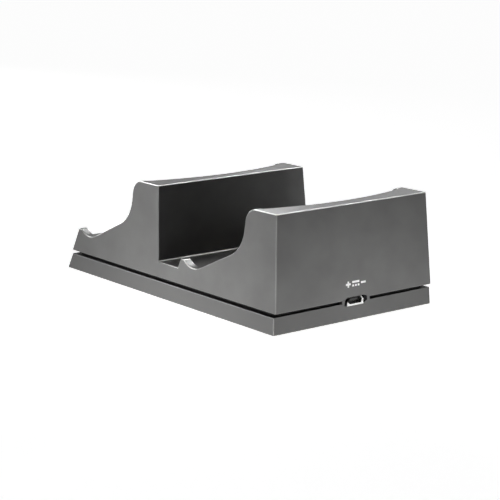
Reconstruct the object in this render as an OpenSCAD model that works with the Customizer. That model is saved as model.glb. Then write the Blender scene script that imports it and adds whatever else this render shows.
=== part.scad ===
// Charging dock that holds two game controllers, one behind the other.
// +Z is up, the controllers face -Y and the power inlet is on +Y. The origin
// lies under the middle of the dock, on the surface that its feet stand on.

/* [Body] */
// Width of the base at its bottom edge
base_w = 76; // [70:0.5:84]
// Draft of the long sides, in degrees
side_draft = 3; // [1:0.5:4]
// Draft of the rear face of each stand, in degrees
back_draft = 3; // [1:0.5:4]
// Rake of the housing's front face, in degrees
front_rake = 26; // [20:0.5:30]
// Wall of the housing and the base
wall_t = 1.8; // [1.5:0.1:2.2]
// Thickness of the deck under the controllers
deck_t = 2; // [1.6:0.1:2.4]
// Housing from its bottom edge to the deck
deck_h = 6.15; // [5.5:0.05:8]
// Shadow gap between the base and the housing
gap_h = 1.25; // [0.8:0.05:1.6]

/* [Base] */
// Height of the base
base_h = 6.6; // [6.2:0.1:8]
// Rake of the base's front face, in degrees
base_rake = 27.7; // [24:0.1:30]
// Draft of the base's rear face, in degrees
base_back_draft = 1; // [0:0.5:3]
// Floor of the base
floor_t = 2.4; // [2.2:0.1:2.8]
// Housing's front edge beyond the base's
front_overhang = 0.55; // [0.2:0.05:0.8]
// Housing's rear edge beyond the base's
rear_overhang = 0.75; // [0.2:0.05:1]
// Base's long side beyond the housing's
side_step = 0.12; // [0:0.02:0.3]

/* [Stands] */
// Depth of a stand at the deck, from its lip to its back
stand_depth = 59; // [56:0.5:66]
// Free deck between the front stand and the rear stand's lip
stand_gap = 12.65; // [10:0.05:20]
// Height of a stand above the deck
stand_h = 29.1; // [26:0.1:36]
// Depth of a stand's top between its front and back planes
top_depth = 16.9; // [15:0.1:20]
// Rounding where a cheek's front turns into its top
top_r = 5.5; // [3:0.1:7]
// Lean of the backrest, in degrees
rest_lean = 6.4; // [4:0.1:9]
// Slope of the ramp below the controller's back, in degrees
ramp_slope = 24.4; // [20:0.1:28]
// Hollow where the ramp turns into the backrest
heel_r = 12.9; // [8:0.1:14]
// Radius of the trough behind the lip
trough_r = 9.8; // [8:0.1:12]
// Bottom of the trough above the deck
trough_h = 1.45; // [1:0.05:2]
// Top of the lip above the deck
lip_h = 3.7; // [3:0.1:5]
// Thickness of the lip at its top
lip_t = 1.9; // [1.4:0.1:2.6]
// Thickness of the cheeks that carry a controller
cheek_t = 3.2; // [2.6:0.1:4]
// Radius of the hollow backrest seen from above
rest_r = 105; // [90:1:140]
// Backrest from its middle to the back, at the top
rest_mid_t = 6.4; // [6:0.1:8]
// Rounding from the deck up into the hollow backrest
rest_foot_r = 8; // [4:0.5:10]

/* [Charging plugs] */
// Width of a charging plug
plug_w = 14.6; // [12:0.1:18]
// Thickness of a charging plug
plug_t = 4.4; // [3.6:0.1:5]
// Height of a charging plug above the deck
plug_h = 4.6; // [3.5:0.1:6]
// Plug's edge rounding
plug_r = 1.2; // [0.6:0.1:1.6]
// Width of one spring contact
contact_w = 2; // [1.4:0.1:2.6]
// Distance between the two spring contacts
contact_pitch = 9.6; // [8:0.1:10]
// Gap around the plug in its deck window
window_gap = 0.6; // [0.4:0.1:1]

/* [Inlet] */
// Width of the slot round the power inlet
slot_w = 10.8; // [9.6:0.1:12]
// Height of the slot round the power inlet
slot_h = 3.4; // [3.2:0.1:3.8]
// Width of the collar that bridges the shadow gap
collar_w = 13.1; // [12.6:0.1:16]
// Width of the inlet's metal shell
shell_w = 7.6; // [7:0.1:8]
// Height of the inlet's metal shell
shell_h = 2.8; // [2.4:0.1:3]
// Length of the inlet's metal shell
shell_l = 6; // [5:0.1:7]
// Recess of the shell's mouth behind the rear face
shell_recess = 0.5; // [0.2:0.1:1]
// Sheet of the shell
shell_t = 0.25; // [0.15:0.05:0.35]

/* [Feet and screws] */
// Diameter of a rubber foot
foot_d = 9; // [7:0.5:11]
// How far a foot stands out below the base
foot_proud = 1; // [0.5:0.1:2]
// Depth of the recess that a foot sits in
foot_recess = 0.6; // [0.4:0.1:1]
// Shank diameter of a base screw
screw_d = 2.5; // [2:0.1:2.8]
// Head diameter of a base screw
screw_head_d = 4.6; // [4.2:0.1:5]
// Outer diameter of a screw boss
boss_d = 6; // [5.4:0.1:6.6]

/* [Hidden] */
$fn = 64;

// Colours
shell_grey = "#5c5c5b";
frame_black = "#161616";
rubber_black = "#1c1c1c";
steel = "#c8c8ca";
gold = "#d8b04a";
board_green = "#1f5a3a";
chip_black = "#202022";
header_white = "#e6e2d6";
clear_white = "#e9eef0";

// General gaps and overruns
over = 1;
thin = 0.01;
fit_gap = 0.1;

// Levels
base_z = foot_proud;
floor_z = base_z + floor_t;
base_top_z = base_z + base_h;
house_z = base_top_z + gap_h;
deck_z = house_z + deck_h;
under_z = deck_z - deck_t;
top_z = deck_z + stand_h;
house_h = deck_h + stand_h;

// Widths, half of each
base_half = base_w / 2;
base_top_half = base_half - base_h * tan(side_draft);
house_half = base_top_half - side_step;
house_top_half = house_half - house_h * tan(side_draft);
function half_at(z) = house_half - (z - house_z) * tan(side_draft);

// Places along the dock
house_l = 2 * stand_depth + stand_gap + deck_h * (tan(front_rake) + tan(back_draft));
dock_l = house_l - front_overhang + base_h * tan(base_rake);
house_rear = dock_l / 2;
house_front = house_rear - house_l;
base_rear_top = house_rear - rear_overhang;
base_rear = base_rear_top + base_h * tan(base_back_draft);
base_front_top = house_front + front_overhang;
base_front = base_front_top - base_h * tan(base_rake);
rear_back = house_rear - deck_h * tan(back_draft);
stand_pitch = stand_depth + stand_gap;
front_back = rear_back - stand_pitch;
stand_backs = [front_back, rear_back];

// Outline of a stand, measured from its back at the deck: [back to front, height above the deck]
back_top = -stand_h * tan(back_draft);
rest_top = back_top - top_depth;
lip_foot = -stand_depth;
lip_out = lip_foot + lip_h * tan(front_rake);
lip_in = lip_out + lip_t;
trough_rise = trough_h + trough_r - lip_h;
trough_c = [lip_in + sqrt(pow(trough_r, 2) - pow(trough_rise, 2)), trough_h + trough_r];
ramp_dir = [cos(ramp_slope), sin(ramp_slope)];
ramp_up = [-sin(ramp_slope), cos(ramp_slope)];
rest_dir = [sin(rest_lean), cos(rest_lean)];
rest_out = [-cos(rest_lean), sin(rest_lean)];
ramp_start = trough_c - trough_r * ramp_up;
rest_point = [rest_top, stand_h];
function cross2(a, b) = a[0] * b[1] - a[1] * b[0];
function meet(p, d, q, e) = p + d * cross2(q - p, e) / cross2(d, e);
heel_c = meet(ramp_start + heel_r * ramp_up, ramp_dir, rest_point + heel_r * rest_out, rest_dir);
heel_low = heel_c - heel_r * ramp_up;
heel_high = heel_c - heel_r * rest_out;
round_c = meet(rest_point - top_r * rest_out, rest_dir, [rest_top, stand_h - top_r], [over, 0]);
round_low = round_c + top_r * rest_out;
round_high = [round_c[0], stand_h];

// Hollow backrest: a cone round an upright axis in front of the stand
rest_axis = back_top - rest_mid_t - rest_r;
function rest_r_at(z) = rest_r - (top_z - z) * tan(rest_lean);
rest_foot_z = deck_z + rest_foot_r;
rest_foot_c = [rest_r_at(rest_foot_z) - rest_foot_r / cos(rest_lean), rest_foot_z];
rest_foot_high = rest_foot_c + rest_foot_r * [cos(rest_lean), -sin(rest_lean)];

// Charging plugs and the boards under them
plug_shift = trough_c[0];
plug_ys = [front_back + plug_shift, rear_back + plug_shift];
flange_t = 2;
flange_reach = [1.7, 1.6];
flange_w = plug_w + 2 * flange_reach[0];
flange_l = plug_t + 2 * flange_reach[1];
board_t = 1.2;
board_top_z = under_z - flange_t;
board_low_z = board_top_z - board_t;
plug_board_w = 28;
plug_board_l = 15.2;
screw_edge = 2.5;
contact_t = 0.5;
contact_sink = 0.35;
tip_cut = 0.6;
pipe_d = 2.6;
pipe_flange_d = 4.2;
pipe_flange_t = 0.8;
pipe_shift = flange_l / 2 + pipe_flange_d / 2 + fit_gap;
lamp_size = [2, 1.25, 0.8];

// Chassis
neck_gap = 0.12;
neck_t = 1.6;
neck_rise = 1.2;
neck_r = 1.5;
neck_half = min(base_top_half, half_at(house_z + neck_rise)) - wall_t - neck_gap;
neck_front = base_front_top + wall_t / cos(base_rake) + neck_gap;
neck_rear = base_rear_top - wall_t / cos(base_back_draft) - neck_gap;
neck_top_z = house_z + neck_rise;
bar_t = 1.6;
bar_w = 10;
bar_top_z = floor_z + bar_t;
post_d = 5;
post_x = plug_board_w / 2 - screw_edge;

// Inlet and the main board
slot_z = (base_top_z + house_z) / 2;
slot_r = 1.5;
shell_mouth = house_rear - shell_recess;
main_top_z = slot_z - shell_h / 2;
main_low_z = main_top_z - board_t;
main_w = 34;
main_l = 22.4;
main_rear = neck_rear - neck_t - fit_gap;
main_front = main_rear - main_l;
nose_w = slot_w + 2 * fit_gap;
nose_rear = neck_rear;
main_bar_y = main_front + bar_w / 2 + over;
ledge_l = 4;
main_screw_x = main_w / 2 - screw_edge;
shell_low_share = 0.78;
tongue_w = 3.6;
tongue_t = 0.6;
tongue_l = 3.6;
tongue_rise = 0.35;
pin_w = 0.3;
pin_t = 0.12;
pin_pitch = 0.65;
pin_count = 5;

// Parts on the main board
chip_size = [4, 5, 1.5];
chip_lead = [0.4, 1, 0.3];
chip_lead_pitch = 1.27;
chip_lead_count = 4;
chip_l_share = 0.47;
chip_y = main_front + chip_l_share * main_l;
coil_size = [5, 5, 2.8];
coil_r = 1;
coil_l_share = 0.705;
power_edge = 5.5;
power_x = main_w / 2 - power_edge;
chip_step = 5.5;
chip_x = power_x - chip_step;
coil_at = [-power_x, main_front + coil_l_share * main_l];
can_d = 6.3;
can_h = 5.2;
can_foot = 0.6;
can_l_share = 0.715;
can_at = [power_x, main_front + can_l_share * main_l];

// Cables between the boards
lane_x = 6.5;
header_size = [5.2, 3.4, 3];
header_wall = 0.4;
plug_body_l = 4.4;
plug_body = [header_size[0] - 2 * header_wall - fit_gap, plug_body_l,
    header_size[2] - 2 * header_wall - fit_gap];
wire_d = 1.3;
wire_pitch = 2;
wire_sides = 8;
wire_rings = 24;
front_dip = 3;
rear_dip = 1.2;
wire_z = board_low_z - header_size[2] / 2;
main_wire_z = main_top_z + header_size[2] / 2;

// Screws
screw_inset = 6.55;
screw_x = neck_half - screw_inset;
screw_head_t = 1.3;
screw_l = 9;
screw_tip = 1;
cross_w = 0.7;
cross_l = 2.6;
cross_t = 0.8;
pilot_gap = 0.05;
pass_gap = 0.2;
head_gap = 0.3;
bore_depth = screw_head_t + fit_gap;
board_screw_d = 2;
board_screw_head_d = 3.6;
board_screw_head_t = 1.2;
board_screw_l = 3;
screw_ys = [plug_ys[0], plug_ys[1], main_bar_y];

// Feet
foot_margin = 2.6;
foot_x = base_half - foot_margin - foot_d / 2;
foot_front_y = base_front + foot_margin + foot_d / 2;
foot_rear_y = base_rear - foot_margin - foot_d / 2;
foot_edge = 0.4;

// Shapes used by several pieces
module along_x(w) rotate([90, 0, 90]) linear_extrude(w, center = true) children();
module along_y(y0, y1) translate([0, y1, 0]) rotate([90, 0, 0]) linear_extrude(y1 - y0) children();

module rounded_rect(size, r) {
    square([size[0] - 2 * r, size[1]], center = true);
    square([size[0], size[1] - 2 * r], center = true);
    for (x = [-1, 1], y = [-1, 1])
        translate([x * (size[0] / 2 - r), y * (size[1] / 2 - r)]) circle(r);
}

module centred_box(size) translate([0, 0, size[2] / 2]) cube(size, center = true);

// A body whose four sides taper between two levels, given as [half width, front, rear]
module tapered_block(z0, low, z1, high) intersection() {
    along_y(min(low[1], high[1]), max(low[2], high[2]))
        polygon([[-low[0], z0], [low[0], z0], [high[0], z1], [-high[0], z1]]);
    along_x(2 * max(low[0], high[0]))
        polygon([[low[1], z0], [low[2], z0], [high[2], z1], [high[1], z1]]);
}

// Side outline of the housing
module stand_outline(back) translate([back, deck_z]) difference() {
    union() {
        polygon([[lip_foot - over * tan(front_rake), -over], [lip_out, lip_h], [lip_in, lip_h],
            ramp_start, heel_low, heel_high, round_low, round_high, [back_top, stand_h],
            [over * tan(back_draft), -over]]);
        translate(round_c) circle(top_r, $fn = 96);
    }
    translate(trough_c) circle(trough_r, $fn = 128);
    translate(heel_c) circle(heel_r, $fn = 128);
}

module housing_outline() {
    polygon([[house_front, house_z], [house_rear, house_z], [rear_back, deck_z],
        [front_back + lip_foot, deck_z]]);
    for (back = stand_backs) stand_outline(back);
}

// Space between the cheeks of a stand, in front of its hollow backrest
module seat_space(back) intersection() {
    along_y(back + lip_foot - stand_gap / 2, back)
        polygon([[-(half_at(deck_z) - cheek_t), deck_z], [half_at(deck_z) - cheek_t, deck_z],
            [half_at(top_z + over) - cheek_t, top_z + over],
            [-(half_at(top_z + over) - cheek_t), top_z + over]]);
    translate([0, back + rest_axis, 0]) rotate_extrude($fn = 240) {
        polygon([[0, deck_z], [rest_foot_c[0], deck_z], rest_foot_high,
            [rest_r_at(top_z + over), top_z + over], [0, top_z + over]]);
        translate(rest_foot_c) circle(rest_foot_r);
    }
}

// Cavity inside a stand's wall
module wall_space(back) difference() {
    low_z = under_z - over;
    high_z = top_z - wall_t;
    inset = wall_t / cos(back_draft);
    tapered_block(low_z, [half_at(low_z) - cheek_t, back + rest_axis,
            back + (deck_z - low_z) * tan(back_draft) - inset],
        high_z, [half_at(high_z) - cheek_t, back + rest_axis,
            back + (deck_z - high_z) * tan(back_draft) - inset]);
    translate([0, back + rest_axis, 0]) rotate_extrude($fn = 240)
        polygon([[0, low_z - over], [rest_r_at(low_z - over) + wall_t / cos(rest_lean), low_z - over],
            [rest_r_at(top_z) + wall_t / cos(rest_lean), top_z], [0, top_z]]);
}

module skirt_space() {
    low_z = house_z - over;
    front = house_front + wall_t / cos(front_rake);
    rear = house_rear - wall_t / cos(back_draft);
    tapered_block(low_z, [half_at(low_z) - wall_t, front - over * tan(front_rake),
            rear + over * tan(back_draft)],
        under_z, [half_at(under_z) - wall_t, front + (under_z - house_z) * tan(front_rake),
            rear - (under_z - house_z) * tan(back_draft)]);
}

module inlet_slot() translate([0, 0, slot_z]) along_y(neck_rear, house_rear + over)
    rounded_rect([slot_w, slot_h], slot_r);

module inlet_collar() {
    inner = house_rear - wall_t / cos(back_draft);
    rise = wall_t;
    along_x(collar_w) polygon([[inner, base_top_z], [house_rear, base_top_z], [house_rear, house_z],
        [house_rear - rise * tan(back_draft), house_z + rise], [inner, house_z + rise]]);
}

module at_base_screws() for (x = [-screw_x, screw_x], y = screw_ys) translate([x, y, 0]) children();

module housing() color(shell_grey) difference() {
    union() {
        difference() {
            intersection() {
                tapered_block(house_z, [house_half, house_front, house_rear],
                    top_z, [house_top_half, house_front + house_h * tan(front_rake),
                        house_rear - house_h * tan(back_draft)]);
                along_x(base_w) housing_outline();
            }
            for (back = stand_backs) {
                seat_space(back);
                wall_space(back);
            }
            skirt_space();
        }
        at_base_screws() translate([0, 0, bar_top_z])
            cylinder(under_z - bar_top_z + deck_t / 2, d = boss_d);
        inlet_collar();
    }
    at_base_screws() translate([0, 0, bar_top_z - over])
        cylinder(screw_l + over, d = screw_d + 2 * pilot_gap);
    inlet_slot();
    for (y = plug_ys) {
        translate([0, y, under_z - over]) linear_extrude(deck_t + 2 * over)
            rounded_rect([plug_w + 2 * window_gap, plug_t + 2 * window_gap], plug_r);
        translate([0, y - pipe_shift, under_z - over])
            cylinder(deck_t + 2 * over, d = pipe_d + fit_gap);
    }
}

module base() color(shell_grey) difference() {
    tapered_block(base_z, [base_half, base_front, base_rear],
        base_top_z, [base_top_half, base_front_top, base_rear_top]);
    rise = base_top_z + over - floor_z;
    front = base_front_top + wall_t / cos(base_rake);
    rear = base_rear_top - wall_t / cos(base_back_draft);
    tapered_block(floor_z, [base_top_half - wall_t + (base_top_z - floor_z) * tan(side_draft),
            front - (base_top_z - floor_z) * tan(base_rake),
            rear + (base_top_z - floor_z) * tan(base_back_draft)],
        floor_z + rise, [base_top_half - wall_t - over * tan(side_draft),
            front + over * tan(base_rake), rear - over * tan(base_back_draft)]);
    at_base_screws() {
        translate([0, 0, base_z - over]) cylinder(bore_depth + over, d = screw_head_d + 2 * head_gap);
        cylinder(floor_z + over, d = screw_d + 2 * pass_gap);
    }
    at_feet() translate([0, 0, base_z - over]) cylinder(foot_recess + over, d = foot_d + 2 * fit_gap);
    inlet_slot();
}

module foot_place(x, rear) translate([x * foot_x, rear ? foot_rear_y : foot_front_y, 0]) children();
module at_feet() for (x = [-1, 1], rear = [false, true]) foot_place(x, rear) children();

module foot() color(rubber_black) rotate_extrude()
    polygon([[0, 0], [foot_d / 2 - foot_edge, 0], [foot_d / 2, foot_edge],
        [foot_d / 2, foot_proud + foot_recess], [0, foot_proud + foot_recess]]);

module neck_plan(inset) translate([0, (neck_front + neck_rear) / 2])
    rounded_rect([2 * (neck_half - inset), neck_rear - neck_front - 2 * inset], neck_r);

module chassis() color(frame_black) difference() {
    union() {
        translate([0, 0, floor_z]) linear_extrude(neck_top_z - floor_z) difference() {
            neck_plan(0);
            neck_plan(neck_t);
        }
        for (y = screw_ys) translate([0, y, floor_z])
            centred_box([2 * neck_half - neck_t, bar_w, bar_t]);
        translate([0, neck_rear - neck_t - ledge_l / 2, floor_z])
            centred_box([2 * neck_half - neck_t, ledge_l + neck_t, main_low_z - floor_z]);
        for (x = [-post_x, post_x], y = plug_ys) translate([x, y, floor_z])
            cylinder(board_low_z - floor_z, d = post_d);
        for (x = [-main_screw_x, main_screw_x]) translate([x, main_bar_y, floor_z])
            cylinder(main_low_z - floor_z, d = post_d);
    }
    at_base_screws() cylinder(bar_top_z + over, d = screw_d + 2 * pass_gap);
    at_board_screws() translate([0, 0, -board_screw_l])
        cylinder(board_screw_l + over, d = board_screw_d + 2 * pilot_gap);
    translate([0, neck_rear, main_low_z])
        centred_box([nose_w + 2 * fit_gap, 2 * neck_t + over, neck_top_z]);
}

// Places of the board screws: the top face of each board
module at_board_screws() {
    for (x = [-post_x, post_x], y = plug_ys) translate([x, y, board_top_z]) children();
    for (x = [-main_screw_x, main_screw_x]) translate([x, main_bar_y, main_top_z]) children();
}

// A screw that points up, with the underside of its head at zero
module screw(d, l, head_d, head_t) difference() {
    union() {
        translate([0, 0, -head_t]) cylinder(head_t, d = head_d);
        cylinder(l - screw_tip, d = d);
        translate([0, 0, l - screw_tip]) cylinder(screw_tip, d1 = d, d2 = d / 2);
    }
    for (turn = [0, 90]) rotate(turn)
        translate([0, 0, -head_t - over]) centred_box([cross_l, cross_w, cross_t + over]);
}

module base_screws() color(steel) at_base_screws() translate([0, 0, base_z + bore_depth])
    screw(screw_d, screw_l, screw_head_d, screw_head_t);

module board_screws() color(steel) at_board_screws() rotate([180, 0, 0])
    screw(board_screw_d, board_screw_l, board_screw_head_d, board_screw_head_t);

// Boards
module board_hole() translate([0, 0, -board_t - over])
    cylinder(board_t + 2 * over, d = board_screw_d + 2 * pass_gap);

module main_board() color(board_green) difference() {
    union() {
        translate([0, (main_front + main_rear) / 2, main_low_z]) centred_box([main_w, main_l, board_t]);
        translate([0, (main_rear + nose_rear) / 2, main_low_z])
            centred_box([nose_w, nose_rear - main_rear + 2 * fit_gap, board_t]);
    }
    at_board_screws() board_hole();
}

module plug_board(y) color(board_green) difference() {
    translate([0, y, board_low_z]) centred_box([plug_board_w, plug_board_l, board_t]);
    at_board_screws() board_hole();
}

// Charging plug of one stand, leaning as the backrest does
module leaning(y) translate([0, y, deck_z]) rotate([-rest_lean, 0, 0]) children();
module above(z) intersection() {
    children();
    translate([0, 0, z]) centred_box([base_w, dock_l, top_z]);
}

module contact_strips(t, reach) for (x = [-contact_pitch / 2, contact_pitch / 2])
    translate([x, contact_sink - plug_t / 2 - t / 2, -reach]) centred_box([contact_w, t, reach + plug_h]);

module plug_housing(y) color(frame_black) difference() {
    union() {
        translate([0, y, board_top_z]) centred_box([flange_w, flange_l, flange_t]);
        above(board_top_z + flange_t / 2) leaning(y) {
            translate([0, 0, -deck_t - flange_t]) linear_extrude(deck_t + flange_t + plug_h - tip_cut)
                rounded_rect([plug_w, plug_t], plug_r);
            hull() for (step = [0, tip_cut]) translate([0, 0, plug_h - tip_cut + step - thin])
                linear_extrude(thin)
                    rounded_rect([plug_w - step, plug_t - step], plug_r - step / 2, $fn = 32);
        }
    }
    leaning(y) contact_strips(contact_t + over, deck_t + flange_t + over);
}

module plug_contacts(y) color(gold) above(board_top_z) leaning(y)
    contact_strips(contact_t, deck_t + flange_t + over);

// Indicator lamp and the light pipe above it
module lamp(y) color(clear_white) translate([0, y - pipe_shift, board_top_z]) centred_box(lamp_size);

module light_pipe(y) color(clear_white) translate([0, y - pipe_shift, under_z]) {
    translate([0, 0, -pipe_flange_t]) cylinder(pipe_flange_t, d = pipe_flange_d);
    cylinder(deck_t, d = pipe_d);
}

// Power inlet
module shell_section(inset) {
    half = shell_w / 2 - inset;
    tall = shell_h / 2 - inset;
    polygon([[-half * shell_low_share, -tall], [half * shell_low_share, -tall],
        [half, 0], [half * shell_low_share, tall],
        [-half * shell_low_share, tall], [-half, 0]]);
}

module inlet_shell() color(steel) translate([0, 0, slot_z])
    along_y(shell_mouth - shell_l, shell_mouth) difference() {
        shell_section(0);
        shell_section(shell_t);
    }

module inlet_tongue() color(chip_black) translate([0, 0, slot_z]) {
    along_y(shell_mouth - shell_l, shell_mouth - tongue_l - over) shell_section(shell_t);
    translate([0, shell_mouth - over - tongue_l / 2 - fit_gap, tongue_rise - tongue_t / 2])
        centred_box([tongue_w, tongue_l + 2 * fit_gap, tongue_t]);
}

module inlet_contacts() color(gold) for (i = [0 : pin_count - 1])
    translate([(i - (pin_count - 1) / 2) * pin_pitch, shell_mouth - over - tongue_l / 2,
        slot_z + tongue_rise - tongue_t / 2 - pin_t])
        centred_box([pin_w, tongue_l, pin_t]);

// Parts on the main board
module chip(x) color(chip_black) translate([x, chip_y, main_top_z]) {
    translate([0, 0, chip_lead[2] / 2]) centred_box([chip_size[0], chip_size[1], chip_size[2]]);
    for (side = [-1, 1], i = [0 : chip_lead_count - 1])
        translate([side * (chip_size[0] / 2 + chip_lead[1] / 2 - fit_gap),
            (i - (chip_lead_count - 1) / 2) * chip_lead_pitch, 0])
            centred_box([chip_lead[1], chip_lead[0], chip_lead[2]]);
}

module power_coil() color(chip_black) translate([coil_at[0], coil_at[1], main_top_z])
    linear_extrude(coil_size[2]) rounded_rect([coil_size[0], coil_size[1]], coil_r);

module capacitor() color(steel) translate([can_at[0], can_at[1], main_top_z]) {
    centred_box([can_d, can_d, can_foot]);
    cylinder(can_h, d = can_d - 2 * fit_gap);
}

// Headers, open towards their cable, and the cables
module header_shape() difference() {
    centred_box(header_size);
    translate([0, -header_wall, header_wall])
        centred_box([header_size[0] - 2 * header_wall, header_size[1], header_size[2] - 2 * header_wall]);
}

module main_header(x) color(header_white)
    translate([x, main_front + header_size[1] / 2, main_top_z]) header_shape();

module board_header(x, y) color(header_white)
    translate([x, y + plug_board_l / 2 - header_size[1] / 2, board_low_z])
        rotate([180, 0, 0]) header_shape();

function wire_at(a, b, dip, t) = [a[0] + (b[0] - a[0]) * t,
    a[1] + (b[1] - a[1]) * t - dip * (1 - cos(360 * t)) / 2];
module wire(a, b, dip) {
    points = [for (i = [0 : wire_rings], k = [0 : wire_sides - 1])
        let (p = wire_at(a, b, dip, i / wire_rings), turn = 360 * k / wire_sides)
        [wire_d / 2 * cos(turn), p[0], p[1] + wire_d / 2 * sin(turn)]];
    sides = [for (i = [0 : wire_rings - 1], k = [0 : wire_sides - 1])
        let (n = (k + 1) % wire_sides, low = i * wire_sides, high = low + wire_sides)
        [low + k, low + n, high + n, high + k]];
    last = wire_rings * wire_sides;
    polyhedron(points, concat([[for (k = [wire_sides - 1 : -1 : 0]) k]], sides,
        [[for (k = [0 : wire_sides - 1]) last + k]]));
}

module cable(x, y, dip) color(frame_black) {
    from = [y + plug_board_l / 2 + header_wall, wire_z];
    to = [main_front - header_wall, main_wire_z];
    reach = plug_body[1] / 2;
    for (side = [-1, 1]) translate([x + side * wire_pitch / 2, 0, 0]) wire(from, to, dip);
    translate([x, from[0] - reach + over, from[1]]) cube(plug_body, center = true);
    translate([x, to[0] + reach - over, to[1]]) cube(plug_body, center = true);
}

housing();
base();
chassis();
foot_place(-1, false) foot();  // foot_front_left
foot_place(1, false) foot();  // foot_front_right
foot_place(-1, true) foot();  // foot_rear_left
foot_place(1, true) foot();  // foot_rear_right
base_screws();
board_screws();
main_board();
inlet_shell();
inlet_tongue();
inlet_contacts();
chip(-chip_x);  // charge_chip_front
chip(chip_x);  // charge_chip_rear
power_coil();
capacitor();
plug_housing(plug_ys[0]);  // front_plug
plug_housing(plug_ys[1]);  // rear_plug
plug_contacts(plug_ys[0]);  // front_plug_contacts
plug_contacts(plug_ys[1]);  // rear_plug_contacts
plug_board(plug_ys[0]);  // front_board
plug_board(plug_ys[1]);  // rear_board
lamp(plug_ys[0]);  // front_lamp
lamp(plug_ys[1]);  // rear_lamp
light_pipe(plug_ys[0]);  // front_light_pipe
light_pipe(plug_ys[1]);  // rear_light_pipe
cable(-lane_x, plug_ys[0], front_dip);  // front_cable
cable(lane_x, plug_ys[1], rear_dip);  // rear_cable
main_header(-lane_x);  // header_main_front
main_header(lane_x);  // header_main_rear
board_header(-lane_x, plug_ys[0]);  // header_front_board
board_header(lane_x, plug_ys[1]);  // header_rear_board
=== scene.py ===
import math

import bmesh
import bpy
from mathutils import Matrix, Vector


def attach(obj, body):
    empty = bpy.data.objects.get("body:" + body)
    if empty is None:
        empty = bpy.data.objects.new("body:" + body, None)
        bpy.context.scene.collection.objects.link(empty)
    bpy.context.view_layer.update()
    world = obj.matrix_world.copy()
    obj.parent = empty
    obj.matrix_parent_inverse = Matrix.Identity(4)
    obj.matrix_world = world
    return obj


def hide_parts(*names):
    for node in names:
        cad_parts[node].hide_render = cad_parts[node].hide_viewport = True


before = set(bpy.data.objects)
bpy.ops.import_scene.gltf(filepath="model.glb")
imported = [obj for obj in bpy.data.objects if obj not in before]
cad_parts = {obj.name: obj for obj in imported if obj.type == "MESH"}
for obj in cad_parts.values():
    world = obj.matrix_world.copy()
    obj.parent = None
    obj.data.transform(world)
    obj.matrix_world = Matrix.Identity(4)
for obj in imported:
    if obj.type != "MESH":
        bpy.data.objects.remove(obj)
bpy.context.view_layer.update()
print("frame loaded:", len(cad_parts), "CAD nodes")

mm = 0.001
colourA, colourB, colourOut = 6, 7, 2  # where a Mix node keeps its two colours and its result


def toLinear(code):
    channels = [int(code[i:i + 2], 16) / 255 for i in (1, 3, 5)]
    return [c / 12.92 if c <= 0.04045 else ((c + 0.055) / 1.055) ** 2.4 for c in channels] + [1]


def addNode(tree, kind, settings={}, values={}, links={}):
    node = tree.nodes.new(kind)
    for name, value in settings.items():
        setattr(node, name, value)
    for name, value in values.items():
        node.inputs[name].default_value = value
    for name, socket in links.items():
        tree.links.new(socket, node.inputs[name])
    return node


# Camera: the photograph's viewpoint, a long lens low behind the dock's left side
camera = {"place": (0.38383, 0.49960, 0.15481), "look": (-0.5990, -0.7709, -0.2165),
          "lens": 117.76, "sensor": 36, "clip": (0.01, 50)}
cameraData = bpy.data.cameras.new("camera")
cameraData.lens = camera["lens"]
cameraData.sensor_width = camera["sensor"]
cameraData.clip_start, cameraData.clip_end = camera["clip"]
cameraObject = bpy.data.objects.new("camera", cameraData)
cameraObject.location = camera["place"]
cameraObject.rotation_euler = Vector(camera["look"]).to_track_quat("-Z", "Y").to_euler()
bpy.context.collection.objects.link(cameraObject)
bpy.context.scene.camera = cameraObject
bpy.context.scene.view_settings.view_transform = "Standard"

# Four low softboxes with grids light the dock, one for each side. The other five show only in its gloss
softboxes = {
    "rearBox": {"from": (-0.03, 0.32, 0.006), "aim": (-0.005, 0.068, 0), "size": (0.13, 0.01),
                "power": 0.0235, "spread": 34, "lights": True},
    "leftBox": {"from": (0.48, -0.05, 0.02), "aim": (0.037, 0.018, 0), "size": (0.06, 0.04),
                "power": 0.062, "spread": 28, "lights": True},
    "rightBox": {"from": (-0.48, -0.05, 0.02), "aim": (-0.037, 0.018, 0), "size": (0.06, 0.04),
                 "power": 0.057, "spread": 28, "lights": True},
    "frontBox": {"from": (0, -1, 0.1), "aim": (0, -0.03, 0.02), "size": (0.5, 0.12),
                 "power": 0.5, "spread": 60, "lights": True},
    "topBox": {"from": (-0.2, -0.3, 0.9), "aim": (0, 0, 0.03), "size": (0.8, 0.8),
               "power": 2.5, "spread": 180, "lights": False},  # the tops and the deck
    "cornerBox": {"from": (0.21, -0.73, 0.61), "aim": (0, 0, 0.04), "size": (0.3, 0.2),
                  "power": 1, "spread": 60, "lights": False},  # the tops towards the near corner
    "kickBox": {"from": (-0.263, -0.321, 0.152), "aim": (0.037, 0.063, 0.044), "size": (0.03, 0.03),
                "power": 0.00009, "spread": 4.5, "lights": False},  # a glint on the rear top's near corner
    "edgeBox": {"from": (-0.57, -0.29, 0.74), "aim": (0, 0, 0.04), "size": (0.2, 0.26),
                "power": 0.88, "spread": 60, "lights": False},  # the lines along the edges
    "seamBox": {"from": (-0.57, 0.26, 0.75), "aim": (0, 0, 0.04), "size": (0.2, 0.26),
                "power": 0.46, "spread": 60, "lights": False},  # the line at the foot of the front wall
}
for name, box in softboxes.items():
    lamp = bpy.data.lights.new(name, "AREA")
    lamp.shape = "RECTANGLE"
    lamp.size, lamp.size_y = box["size"]
    lamp.energy = box["power"]
    lamp.spread = math.radians(box["spread"])
    lampObject = bpy.data.objects.new(name, lamp)
    lampObject.location = box["from"]
    lampObject.rotation_euler = (Vector(box["aim"]) - Vector(box["from"])).to_track_quat("-Z", "Y").to_euler()
    lampObject.visible_camera = False
    lampObject.visible_diffuse = box["lights"]
    bpy.context.collection.objects.link(lampObject)

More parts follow.
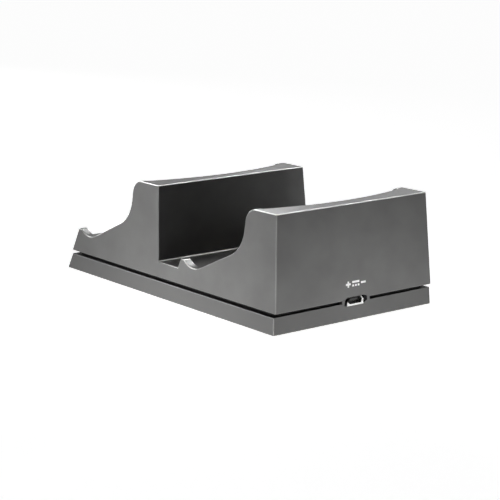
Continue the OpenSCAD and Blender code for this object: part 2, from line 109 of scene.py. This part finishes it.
# The room is white to the camera. To the gloss it is bright near the front horizon and dim behind and
# overhead, and to everything else it is a faint fill
room = {"fill": 0.02, "seen": 1.0, "above": (0.25, 0.55), "ceiling": 0.15,
        "ahead": 1.0, "behind": 0.15, "turn": (-0.3, 0.4)}
world = bpy.data.worlds.new("room")
world.use_nodes = True
bpy.context.scene.world = world
tree = world.node_tree
tree.nodes.clear()
path = addNode(tree, "ShaderNodeLightPath")
heading = addNode(tree, "ShaderNodeSeparateXYZ",
                  links={"Vector": addNode(tree, "ShaderNodeTexCoord").outputs["Generated"]})
horizon = addNode(tree, "ShaderNodeMapRange",
                  values={"From Min": room["turn"][0], "From Max": room["turn"][1],
                          "To Min": room["ahead"], "To Max": room["behind"]},
                  links={"Value": heading.outputs["Y"]})
ceiling = addNode(tree, "ShaderNodeMapRange",
                  values={"From Min": room["above"][0], "From Max": room["above"][1],
                          "To Max": room["ceiling"]},
                  links={"Value": heading.outputs["Z"], "To Min": horizon.outputs["Result"]})
plain = {"Color": (1, 1, 1, 1)}
fill = addNode(tree, "ShaderNodeBackground", values={**plain, "Strength": room["fill"]})
gloss = addNode(tree, "ShaderNodeBackground", values=plain, links={"Strength": ceiling.outputs["Result"]})
white = addNode(tree, "ShaderNodeBackground", values={**plain, "Strength": room["seen"]})
shade = fill.outputs[0]
for ray, other in (("Is Glossy Ray", gloss), ("Is Transmission Ray", white), ("Is Camera Ray", white)):
    shade = addNode(tree, "ShaderNodeMixShader",
                    links={"Fac": path.outputs[ray], 1: shade, 2: other.outputs[0]}).outputs[0]
addNode(tree, "ShaderNodeOutputWorld", links={"Surface": shade})

# The floor is matt white paper, which keeps the dock's soft shadow. It throws a pool of soft light up at
# the dock, weaker close to it
paperFloor = {"size": 12, "colour": "#f2f2f2", "seen": 0.96, "bounce": 0.5, "near": 0.5,
              "centre": (-0.05, 0, 0), "stretch": (1, 0.6, 1), "rim": (0.035, 0.06), "reach": (0.07, 0.2)}
floorMesh = bpy.data.meshes.new("floor")
bm = bmesh.new()
bmesh.ops.create_grid(bm, x_segments=1, y_segments=1, size=paperFloor["size"] / 2)
bm.to_mesh(floorMesh)
bm.free()
floor = bpy.data.objects.new("floor", floorMesh)
bpy.context.collection.objects.link(floor)
paper = bpy.data.materials.new("matt paper")
paper.use_nodes = True
tree = paper.node_tree
tree.nodes.clear()
path = addNode(tree, "ShaderNodeLightPath")
squeezed = addNode(tree, "ShaderNodeMapping", {"vector_type": "TEXTURE"},
                   {"Location": paperFloor["centre"], "Scale": [1 / s for s in paperFloor["stretch"]]},
                   {"Vector": addNode(tree, "ShaderNodeTexCoord").outputs["Object"]})
away = addNode(tree, "ShaderNodeVectorMath", {"operation": "LENGTH"},
               links={"Vector": squeezed.outputs["Vector"]}).outputs["Value"]
rim = addNode(tree, "ShaderNodeMapRange", {"interpolation_type": "SMOOTHSTEP"},
              {"From Min": paperFloor["rim"][0], "From Max": paperFloor["rim"][1],
               "To Min": paperFloor["bounce"] * paperFloor["near"], "To Max": paperFloor["bounce"]},
              {"Value": away})
pool = addNode(tree, "ShaderNodeMapRange", {"interpolation_type": "SMOOTHSTEP"},
               {"From Min": paperFloor["reach"][0], "From Max": paperFloor["reach"][1], "To Max": 0},
               {"Value": away, "To Min": rim.outputs["Result"]})
glow = addNode(tree, "ShaderNodeEmission", links={"Strength": pool.outputs["Result"]})
bright = addNode(tree, "ShaderNodeEmission", values={"Strength": paperFloor["seen"]})
shade = glow.outputs[0]
for ray in ("Is Glossy Ray", "Is Camera Ray"):
    shade = addNode(tree, "ShaderNodeMixShader",
                    links={"Fac": path.outputs[ray], 1: shade, 2: bright.outputs[0]}).outputs[0]
matt = addNode(tree, "ShaderNodeBsdfDiffuse", values={"Color": toLinear(paperFloor["colour"])})
both = addNode(tree, "ShaderNodeAddShader", links={0: shade, 1: matt.outputs[0]})
addNode(tree, "ShaderNodeOutputMaterial", links={"Surface": both.outputs[0]})
floorMesh.materials.append(paper)
print("camera, lights and floor made")


def newMaterial(name):
    material = bpy.data.materials.new(name)
    material.use_nodes = True
    tree = material.node_tree
    tree.nodes.clear()
    shader = addNode(tree, "ShaderNodeBsdfPrincipled")
    addNode(tree, "ShaderNodeOutputMaterial", links={"Surface": shader.outputs[0]})
    coords = addNode(tree, "ShaderNodeTexCoord").outputs["Object"]
    return material, tree, shader, coords


# What all the finishes share: the bump's depth is a share of the grain's width, the painted edge
# highlight is patchy and shines more, and a ledge painted dark as shade hardly shines
texture = {"driftDetail": 3, "grainDetail": 2, "grainRough": 0.6, "depth": 0.2,
           "patchy": (0.3, 0.7), "patchHighlight": (0.7, 1), "edgeShine": (0.5, 1), "shadeShine": (1, 0.1)}


def grained(name, look):
    # A slow drift of tone, a fine grain in the bump and a roughness that follows the grain
    material, tree, shader, coords = newMaterial(name)
    drift = addNode(tree, "ShaderNodeTexNoise",
                    values={"Scale": 1 / look["drift"], "Detail": texture["driftDetail"]},
                    links={"Vector": coords})
    colour = addNode(tree, "ShaderNodeMix", {"data_type": "RGBA"},
                     {colourA: toLinear(look["dark"]), colourB: toLinear(look["light"])},
                     {"Factor": drift.outputs["Fac"]}).outputs[colourOut]
    grain = addNode(tree, "ShaderNodeTexNoise",
                    values={"Scale": 1 / look["grain"], "Detail": texture["grainDetail"],
                            "Roughness": texture["grainRough"]},
                    links={"Vector": coords}).outputs["Fac"]
    rough = addNode(tree, "ShaderNodeMapRange",
                    values={"To Min": look["rough"][0], "To Max": look["rough"][1]},
                    links={"Value": grain}).outputs["Result"]
    if "edge" in look:  # the edges get a painted highlight, lighter and smoother, and the ledges in the gap a painted shade
        edge, ledge = (addNode(tree, "ShaderNodeAttribute", {"attribute_name": layer}).outputs["Fac"]
                       for layer in ("edge", "paintedShade"))
        patch = addNode(tree, "ShaderNodeTexNoise", values={"Scale": 1 / look["wear"]},
                        links={"Vector": coords})
        share = addNode(tree, "ShaderNodeMapRange",
                        values={"From Min": texture["patchy"][0], "From Max": texture["patchy"][1],
                                "To Min": texture["patchHighlight"][0], "To Max": texture["patchHighlight"][1]},
                        links={"Value": patch.outputs["Fac"]})
        paintedHighlight = addNode(tree, "ShaderNodeMath", {"operation": "MULTIPLY"},
                      links={0: edge, 1: share.outputs["Result"]}).outputs[0]
        # the edge highlight and the ledges' shade are both painted into the colour here
        for amount, paint in ((paintedHighlight, look["edge"]), (ledge, look["paintedShade"])):
            colour = addNode(tree, "ShaderNodeMix", {"data_type": "RGBA"}, {colourB: toLinear(paint)},
                             {"Factor": amount, colourA: colour}).outputs[colourOut]
        rough = addNode(tree, "ShaderNodeMix", values={"B": look["edgeRough"]},
                        links={"Factor": paintedHighlight, "A": rough}).outputs["Result"]
        shine, dull = (addNode(tree, "ShaderNodeMapRange", values={"To Min": ends[0], "To Max": ends[1]},
                               links={"Value": amount}).outputs["Result"]
                       for amount, ends in ((paintedHighlight, texture["edgeShine"]), (ledge, texture["shadeShine"])))
        level = addNode(tree, "ShaderNodeMath", {"operation": "MULTIPLY"}, links={0: shine, 1: dull})
        tree.links.new(level.outputs[0], shader.inputs["Specular IOR Level"])
    bump = addNode(tree, "ShaderNodeBump",
                   values={"Strength": look["bump"], "Distance": look["grain"] * texture["depth"]},
                   links={"Height": grain})
    tree.links.new(colour, shader.inputs["Base Color"])
    tree.links.new(rough, shader.inputs["Roughness"])
    tree.links.new(bump.outputs["Normal"], shader.inputs["Normal"])
    for key, socket in (("ior", "IOR"), ("metallic", "Metallic"), ("shine", "Specular IOR Level")):
        if key in look:
            shader.inputs[socket].default_value = look[key]
    return material


# In each finish drift, grain and wear are the widths of the patches of tone, of the grain and of the patchy
# painted edge highlight. The real grains, 0.05 to 0.15 mm wide, are too fine to show, so they are drawn
# coarser

# Moulded ABS with a fine spark-eroded grain: satin charcoal grey, a soft broad shine
# Its edges carry a painted highlight, and its ledges in the shadow gap a painted near-black shade
shellPlastic = grained("moulded ABS", {
    "dark": "#4b4b4a", "light": "#6a6a69", "drift": 14 * mm, "grain": 0.4 * mm, "rough": (0.36, 0.5),
    "bump": 0.25, "ior": 1.52, "edge": "#e6e6e3", "edgeRough": 0.2, "wear": 6 * mm, "paintedShade": "#1c1c1c"})
# The base is moulded from the same stock: a shade darker, a little duller
# Its edges carry a painted highlight too, and its ledge in the shadow gap a painted near-black shade
basePlastic = grained("darker moulded ABS", {
    "dark": "#4a4a49", "light": "#585857", "drift": 14 * mm, "grain": 0.4 * mm, "rough": (0.38, 0.52),
    "bump": 0.25, "ior": 1.52, "edge": "#e6e6e3", "edgeRough": 0.2, "wear": 6 * mm, "paintedShade": "#1c1c1c"})
# Black ABS of the plugs: the same grain, almost no colour
framePlastic = grained("black ABS", {
    "dark": "#0c0c0c", "light": "#121212", "drift": 20 * mm, "grain": 0.4 * mm, "rough": (0.45, 0.6),
    "bump": 0.2, "ior": 1.52})
# The chassis shows only in the shadow gap: black ABS with hardly any shine, kept near black partly as painted
# shade for the gap
blackGapShadePlastic = grained("dull black ABS as gap shade", {
    "dark": "#1a1a1a", "light": "#222222", "drift": 20 * mm, "grain": 0.4 * mm, "rough": (0.6, 0.75),
    "bump": 0.2, "ior": 1.52, "shine": 0.1})
# Pressed silicone rubber of the feet: black, soft and without a shine
rubber = grained("silicone rubber", {
    "dark": "#191919", "light": "#222222", "drift": 4 * mm, "grain": 0.3 * mm, "rough": (0.7, 0.9),
    "bump": 0.4, "ior": 1.45})
# Zinc-plated screws: pale bluish metal with a soft gleam
screwSteel = grained("zinc-plated steel", {
    "dark": "#a9abad", "light": "#c2c3c4", "drift": 1.5 * mm, "grain": 0.2 * mm, "rough": (0.25, 0.4),
    "bump": 0.1, "metallic": 1})
# Nickel-plated sheet of the inlet: bright white metal with sharp glints
platedSteel = grained("nickel-plated steel", {
    "dark": "#dedfdd", "light": "#f2f2f0", "drift": 2 * mm, "grain": 0.2 * mm, "rough": (0.18, 0.3),
    "bump": 0.06, "metallic": 1})
# Gold-plated contacts: warm yellow and smooth
goldPlate = grained("gold-plated bronze", {
    "dark": "#d2a23c", "light": "#e3bc62", "drift": 1 * mm, "grain": 0.15 * mm, "rough": (0.16, 0.28),
    "bump": 0.06, "metallic": 1})
# The capacitor's drawn can: pale grey metal with a satin gleam
canAluminium = grained("drawn aluminium", {
    "dark": "#b4b6b8", "light": "#cfd0d1", "drift": 3 * mm, "grain": 0.25 * mm, "rough": (0.25, 0.38),
    "bump": 0.08, "metallic": 1})
# Moulded epoxy of the chips: near black, matt and slightly gritty
chipPlastic = grained("epoxy", {
    "dark": "#171719", "light": "#202022", "drift": 3 * mm, "grain": 0.2 * mm, "rough": (0.5, 0.65),
    "bump": 0.3, "ior": 1.55})
# Lacquered circuit board: deep green under a clear shine, faintly uneven over the glass cloth
boardLacquer = grained("lacquered glass-epoxy board", {
    "dark": "#14492e", "light": "#1f6340", "drift": 5 * mm, "grain": 0.6 * mm, "rough": (0.22, 0.34),
    "bump": 0.15, "ior": 1.55})
# The main board's nose shows in the inlet slot, so its lacquer is painted black as the shade inside the slot
slotShadeLacquer = grained("glass-epoxy board lacquered black as slot shade", {
    "dark": "#0d100f", "light": "#151917", "drift": 5 * mm, "grain": 0.6 * mm, "rough": (0.3, 0.42),
    "bump": 0.15, "ior": 1.55})
# Tinned contacts inside the inlet: dark grey metal, soft and uneven
tinnedBronze = grained("tinned bronze", {
    "dark": "#55554f", "light": "#6b6b64", "drift": 1 * mm, "grain": 0.15 * mm, "rough": (0.35, 0.5),
    "bump": 0.06, "metallic": 1})
# Extruded PVC of the wires: smooth black with a narrow shine
wireJacket = grained("PVC wire jacket", {
    "dark": "#101010", "light": "#1b1b1b", "drift": 4 * mm, "grain": 0.3 * mm, "rough": (0.35, 0.5),
    "bump": 0.1, "ior": 1.5})
# Moulded nylon of the cable sockets: milky ivory, satin
headerPlastic = grained("moulded nylon", {
    "dark": "#ddd9cc", "light": "#ebe7db", "drift": 3 * mm, "grain": 0.25 * mm, "rough": (0.4, 0.55),
    "bump": 0.15, "ior": 1.53})
# Pad-printed ink: a thin opaque white film, matt
printInk = grained("pad-printed ink", {
    "dark": "#f6f6f4", "light": "#ffffff", "drift": 0.6 * mm, "grain": 0.12 * mm, "rough": (0.5, 0.65),
    "bump": 0.1, "ior": 1.5})

# Clear polycarbonate: milky inside, so the lamp below reads as a soft dot
lightPipe = {"dark": "#d7dfe2", "light": "#eef3f4", "cloud": 1.2 * mm, "rough": (0.08, 0.2), "ior": 1.58,
             "clear": 0.55}
clearPlastic, tree, shader, coords = newMaterial("clear polycarbonate")
milk = addNode(tree, "ShaderNodeTexNoise", values={"Scale": 1 / lightPipe["cloud"]},
               links={"Vector": coords}).outputs["Fac"]
tone = addNode(tree, "ShaderNodeMix", {"data_type": "RGBA"},
               {colourA: toLinear(lightPipe["dark"]), colourB: toLinear(lightPipe["light"])},
               {"Factor": milk})
gloss = addNode(tree, "ShaderNodeMapRange",
                values={"To Min": lightPipe["rough"][0], "To Max": lightPipe["rough"][1]},
                links={"Value": milk})
tree.links.new(tone.outputs[colourOut], shader.inputs["Base Color"])
tree.links.new(gloss.outputs["Result"], shader.inputs["Roughness"])
shader.inputs["IOR"].default_value = lightPipe["ior"]
shader.inputs["Transmission Weight"].default_value = lightPipe["clear"]
print("materials made")

slotMaterials = {
    "shell_plastic": shellPlastic, "frame_plastic": framePlastic, "rubber": rubber,
    "screw_steel": screwSteel, "plated_steel": platedSteel, "gold_plate": goldPlate,
    "can_aluminium": canAluminium, "chip_plastic": chipPlastic, "board": boardLacquer,
    "clear_plastic": clearPlastic, "wire": wireJacket, "header_plastic": headerPlastic,
}
nodeMaterials = {"main_board": slotShadeLacquer, "inlet_contacts": tinnedBronze, "chassis": blackGapShadePlastic}
for node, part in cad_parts.items():
    for slot in part.material_slots:
        slot.material = nodeMaterials.get(node) or slotMaterials[slot.material.name.split(".")[0]]

# How a CAD node is dressed: points closer than merge are one, triangles that turn less than flat are one
# face, edges that turn more than sharp may be rounded, and faces that turn more than crease stay apart
dressing = {"merge": 0.002 * mm, "flat": math.radians(0.5), "sharp": math.radians(30), "segments": 3,
            "crease": math.radians(38)}


def openEdges(bm):
    return sum(not edge.is_manifold for edge in bm.edges)


# Each group of edges has a width, a rule for how light a highlight is painted on its new faces and a rule
# that picks it
def dressed(name, node, material, groups, paintedShade=lambda normal, middle: False):
    bm = bmesh.new()
    bm.from_mesh(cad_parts[node].data)
    bmesh.ops.remove_doubles(bm, verts=bm.verts, dist=dressing["merge"])
    bmesh.ops.dissolve_limit(bm, angle_limit=dressing["flat"], verts=bm.verts, edges=bm.edges,
                             use_dissolve_boundaries=False, delimit=set())
    highlightLayer, shadeLayer = (bm.faces.layers.float.new(layer) for layer in ("edge", "paintedShade"))
    done = bm.faces.layers.int.new("done")
    for width, lightness, chosen in groups:
        picked = [e for e in bm.edges if e.is_manifold and e.calc_face_angle(0) > dressing["sharp"]
                  and not any(f[done] for f in e.link_faces) and chosen(e, e.verts[0].co, e.verts[1].co)]
        made = bmesh.ops.bevel(bm, geom=picked, offset=width, offset_type="OFFSET",
                               segments=dressing["segments"], profile=0.5, affect="EDGES",
                               clamp_overlap=False, loop_slide=False, material=-1)
        for face in made["faces"]:
            face[highlightLayer] = lightness(face.normal)
            face[done] = 1
    # faces that the masked rule picks are flagged for a painted shade
    for face in bm.faces:
        if paintedShade(face.normal, face.calc_center_median()):
            face[shadeLayer] = 1
    bm.faces.layers.int.remove(done)
    print(name, "faces", len(bm.faces), "open", openEdges(bm))
    addPiece(name, node, bm, material)


def addPiece(name, node, bm, material):
    mesh = bpy.data.meshes.new(name)
    bm.to_mesh(mesh)
    bm.free()
    mesh.shade_smooth()
    mesh.set_sharp_from_angle(angle=dressing["crease"])
    mesh.materials.append(material)
    piece = bpy.data.objects.new(name, mesh)
    bpy.context.collection.objects.link(piece)
    flat = piece.modifiers.new("flat faces", "WEIGHTED_NORMAL")
    flat.keep_sharp = True
    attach(piece, "root")
    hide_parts(node)


# The housing's outside, and how far each edge is rounded and how light a highlight is painted on it. An edge
# that faces up more than upward says is a top one, with a bright painted highlight unless it slopes forwards
housingPlan = {
    "side": 37.534 * mm, "front": -65.3 * mm, "rear": 68.44 * mm, "bottom": 8.85 * mm,
    "draft": math.radians(3), "slack": 0.4 * mm, "deck": 15.0 * mm, "underDeck": 13.1 * mm,
    "portHalf": 7.0 * mm, "portTop": 10.5 * mm,
    "round": 0.35 * mm, "upward": 0.2, "forward": -0.05, "topHighlight": 1, "uprightHighlight": 0.16, "slopeHighlight": 0.08,
    "seamY": -3.53 * mm, "near": 0.1 * mm, "seamRound": 0.45 * mm, "seamHighlight": 1,
    "downward": -0.4,
}


def leanAt(z):
    return (z - housingPlan["bottom"]) * math.tan(housingPlan["draft"])


def outer(p):
    reach = leanAt(p.z) + housingPlan["slack"]
    return (abs(p.x) > housingPlan["side"] - reach or p.y > housingPlan["rear"] - reach
            or p.y < housingPlan["front"])


def atPort(p):
    return abs(p.x) < housingPlan["portHalf"] and p.y > 0 and p.z < housingPlan["portTop"]


def outerEdges(edge, a, b):
    # every convex edge above the deck and every one around the outside, but not the slot's
    return (edge.is_convex and not (atPort(a) and atPort(b))
            and (min(a.z, b.z) > housingPlan["underDeck"] or outer(a) and outer(b)))


# how light the painted highlight on a rounded edge is, by which way the edge faces
def outerHighlight(normal):
    if normal.z < housingPlan["upward"]:
        return housingPlan["uprightHighlight"]
    return housingPlan["topHighlight"] if normal.y > housingPlan["forward"] else housingPlan["slopeHighlight"]


def wallSeam(edge, a, b):
    # the hollow line where the front stand's rear wall meets the deck
    return not edge.is_convex and all(abs(p.z - housingPlan["deck"]) < housingPlan["near"]
                                      and abs(p.y - housingPlan["seamY"]) < housingPlan["near"]
                                      for p in (a, b))


# Faces under the housing's bottom rim are painted dark as the shade in the gap
def housingShadeLedge(normal, middle):
    return (normal.z < housingPlan["downward"]
            and middle.z < housingPlan["bottom"] + housingPlan["round"])


# The line at the foot of the front wall gets a full painted highlight, the outer edges one by how they face
dressed("housingShell", "housing", shellPlastic,
        [(housingPlan["seamRound"], lambda normal: housingPlan["seamHighlight"], wallSeam),
         (housingPlan["round"], outerHighlight, outerEdges)], paintedShade=housingShadeLedge)

# The base's edges are rounded a little less and all get the same painted highlight, and its ledge in the gap
# is painted dark as shade
basePlan = {"round": 0.3 * mm, "paintedHighlight": 0.3, "upward": 0.4, "ledge": 7.2 * mm}


def trayEdges(edge, a, b):
    return edge.is_convex and not (atPort(a) and atPort(b)) and outer(a) and outer(b)


# The base's top ledge inside the gap is painted dark as shade
def trayShadeLedge(normal, middle):
    return normal.z > basePlan["upward"] and middle.z > basePlan["ledge"]


dressed("baseTray", "base", basePlastic,
        [(basePlan["round"], lambda normal: basePlan["paintedHighlight"], trayEdges)], paintedShade=trayShadeLedge)

# The plugs are rounded where they stand clear of the deck
plugPlan = {"round": 0.12 * mm, "paintedHighlight": 0, "clear": 15.2 * mm}


def plugEdges(edge, a, b):
    return edge.is_convex and min(a.z, b.z) > plugPlan["clear"]


for side in ("front", "rear"):
    dressed(side + "PlugBody", side + "_plug", framePlastic,
            [(plugPlan["round"], lambda normal: plugPlan["paintedHighlight"], plugEdges)])
print("housing, base and plugs dressed")

# The inlet's metal shell is a drawn six-sided tube whose mouth flares, most of all at the lower lip. A rim
# gives its lower corners' place, how much wider and deeper it is, and how far its lower corners, its side
# corners and its upper corners stand out
port = {
    "z": 8.225 * mm, "mouth": 67.94 * mm, "length": 6 * mm, "neck": 0.6 * mm,
    "half": 3.8 * mm, "tall": 1.4 * mm, "share": 0.78, "sheet": 0.25 * mm,
    "outerRim": {"low": 4.0 * mm, "wider": 0.15 * mm, "deeper": 0.22 * mm,
                 "out": (0.15 * mm, 0.15 * mm, -0.1 * mm)},
    "innerRim": {"deeper": -0.13 * mm, "out": (0.2 * mm, -0.35 * mm, -0.45 * mm)},
}


def sixSided(bm, y, half, tall, rim={}):
    top = half * port["share"]
    low, wide, down = rim.get("low", top), half + rim.get("wider", 0), tall + rim.get("deeper", 0)
    lowY, sideY, topY = (y + out for out in rim.get("out", (0, 0, 0)))
    places = ((-low, lowY, -down), (low, lowY, -down), (wide, sideY, 0),
              (top, topY, tall), (-top, topY, tall), (-wide, sideY, 0))
    corners = [bm.verts.new((x, where, z + port["z"])) for x, where, z in places]
    return [bm.edges.new(ends) for ends in zip(corners, corners[1:] + corners[:1])]


bm = bmesh.new()
tube = (port["half"], port["tall"])
bore = (port["half"] - port["sheet"], port["tall"] - port["sheet"])
back, neck, mouth = port["mouth"] - port["length"], port["mouth"] - port["neck"], port["mouth"]
rings = [sixSided(bm, back, *tube), sixSided(bm, neck, *tube), sixSided(bm, mouth, *tube, port["outerRim"]),
         sixSided(bm, mouth, *bore, port["innerRim"]), sixSided(bm, neck, *bore), sixSided(bm, back, *bore)]
for ring, following in zip(rings, rings[1:] + rings[:1]):
    bmesh.ops.bridge_loops(bm, edges=ring + following)
bmesh.ops.recalc_face_normals(bm, faces=bm.faces)
addPiece("inletShellFlared", "inlet_shell", bm, platedSteel)

# A generic printed mark over the inlet: plus, direct current, minus
mark = {"z": 14.7 * mm, "tall": 2.3 * mm, "stroke": 0.74 * mm, "thick": 0.03 * mm, "sunk": 0.01 * mm,
        "apart": 3.6 * mm, "barHalf": 1.7 * mm, "barUp": 0.64 * mm, "dash": 0.86 * mm,
        "dashPitch": 1.3 * mm, "corner": 0.12 * mm, "segments": 3}
half, wide = mark["stroke"] / 2, mark["tall"] / 2
plus = [(-half, -wide), (half, -wide), (half, -half), (wide, -half), (wide, half), (half, half),
        (half, wide), (-half, wide), (-half, half), (-wide, half), (-wide, -half), (-half, -half)]


def bar(middle, up, reach):
    left, right, low, high = middle - reach, middle + reach, up - half, up + half
    return [(left, low), (right, low), (right, high), (left, high)]


outlines = [[(x - mark["apart"], y) for x, y in plus], bar(mark["apart"], 0, wide),
            bar(0, mark["barUp"], mark["barHalf"])]
outlines += [bar(i * mark["dashPitch"], -mark["barUp"], mark["dash"] / 2) for i in (-1, 0, 1)]
bm = bmesh.new()
for outline in outlines:
    face = bm.faces.new([bm.verts.new((x, y, -mark["sunk"])) for x, y in outline])
    raised = bmesh.ops.extrude_face_region(bm, geom=[face])["geom"]
    bmesh.ops.translate(bm, verts=[v for v in raised if isinstance(v, bmesh.types.BMVert)],
                        vec=(0, 0, mark["thick"]))
corners = [e for e in bm.edges if e.is_manifold
           and abs(e.verts[0].co.z - e.verts[1].co.z) > mark["thick"] / 2]
bmesh.ops.recalc_face_normals(bm, faces=bm.faces)
bmesh.ops.bevel(bm, geom=corners, offset=mark["corner"], offset_type="OFFSET", segments=mark["segments"],
                profile=0.5, affect="EDGES", clamp_overlap=False, loop_slide=True, material=-1)
across = Vector((-1, 0, 0))
up = Vector((0, -math.sin(housingPlan["draft"]), math.cos(housingPlan["draft"])))
outward = across.cross(up)
centre = Vector((0, housingPlan["rear"] - leanAt(mark["z"]), mark["z"]))
for v in bm.verts:
    v.co = centre + across * v.co.x + up * v.co.y + outward * v.co.z
print("mark faces", len(bm.faces), "open", openEdges(bm))
markMesh = bpy.data.meshes.new("printedMark")
bm.to_mesh(markMesh)
bm.free()
markMesh.materials.append(printInk)
printedMark = bpy.data.objects.new("printedMark", markMesh)
bpy.context.collection.objects.link(printedMark)
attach(printedMark, "root")
print("inlet rim and printed mark made")
